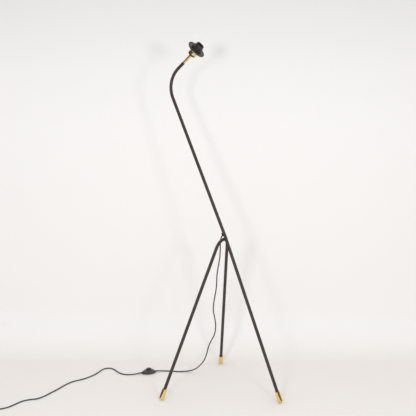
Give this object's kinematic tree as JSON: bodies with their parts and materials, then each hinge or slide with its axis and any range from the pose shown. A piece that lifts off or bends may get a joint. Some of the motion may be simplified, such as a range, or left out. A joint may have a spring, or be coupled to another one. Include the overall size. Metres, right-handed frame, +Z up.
{
  "type": "tripod floor lamp",
  "caption": "Slender tripod floor lamp: leaning goose-necked tube, hairpin rear legs, brass feet and neck, bare lampholder with a round plate, corded foot switch.",
  "frame": {"origin": "below the centre of the standing lamp, on the floor", "axes": "+Z up; +X from the rear legs' line towards the front foot, in the vertical plane that holds the stem, the goose neck, the head and the front leg; +Y towards the rear foot away from the lead"},
  "size_m": [1.0777, 0.9252, 1.4245],
  "materials": {
    "black_tube": "satin black powder coat",
    "foot_brass": "polished",
    "head_brass": "polished",
    "contact_brass": "plain stamped brass",
    "plated_steel": "zinc or nickel plated",
    "holder_black": "moulded thermoset, semi-matt",
    "plate_black": "satin black",
    "white_ceramic": "unglazed white porcelain",
    "switch_black": "moulded, semi-gloss",
    "button_black": "moulded, matt",
    "plug_black": "moulded, semi-matt",
    "lead_sheath": "round PVC sheath, satin",
    "relief_rubber": "soft moulded",
    "grommet_rubber": "matt",
    "tie_nylon": "woven hook-and-loop strap"
  },
  "bodies": {
    "lamp": {"main_tube": "black_tube", "rear_legs": "black_tube", "frame_weld": "black_tube", "cable_grommet": "grommet_rubber", "foot_front": "foot_brass", "foot_rear_left": "foot_brass", "foot_rear_right": "foot_brass", "neck_tube": "head_brass", "lock_nut": "plated_steel", "internal_cable": "lead_sheath", "holder_cap": "holder_black", "cap_screw": "plated_steel", "holder_sleeve": "head_brass", "sleeve_screws": "plated_steel", "shade_plate": "plate_black", "holder_skirt": "holder_black", "terminal_insert": "white_ceramic", "screw_shell": "contact_brass", "terminal_screws": "contact_brass", "switch_base": "switch_black", "switch_cover": "switch_black", "switch_contacts": "contact_brass", "switch_screws": "plated_steel", "relief_lamp_side": "relief_rubber", "relief_mains_side": "relief_rubber", "cord_drop": "lead_sheath", "cord_floor": "lead_sheath", "cord_coil": "lead_sheath", "cord_tail": "lead_sheath", "coil_tie": "tie_nylon", "plug_body": "plug_black", "plug_relief": "relief_rubber", "plug_pin_sleeves": "plug_black", "plug_pins": "plated_steel"},
    "ring": {"shade_ring": "holder_black"},
    "contact": {"centre_contact": "contact_brass"},
    "button": {"switch_button": "button_black", "contact_disc": "contact_brass", "switch_spring": "plated_steel"}
  },
  "joints": [
    {"name": "shade_ring_turn", "type": "hinge", "parent": "lamp", "child": "ring", "pos_m": [-0.1324, 0, 1.39525], "axis": [0.7804, 0, 0.6252], "range_deg": [0, 1080]},
    {"name": "centre_contact_press", "type": "slide", "parent": "lamp", "child": "contact", "axis": [-0.7804, 0, -0.6252], "range_m": [0, 0.0014], "stiffness_N_per_m": 1500},
    {"name": "switch_press", "type": "slide", "parent": "lamp", "child": "button", "axis": [0, 0, -1], "range_m": [0, 0.003], "stiffness_N_per_m": 800, "deforming": ["switch_spring"]}
  ]
}
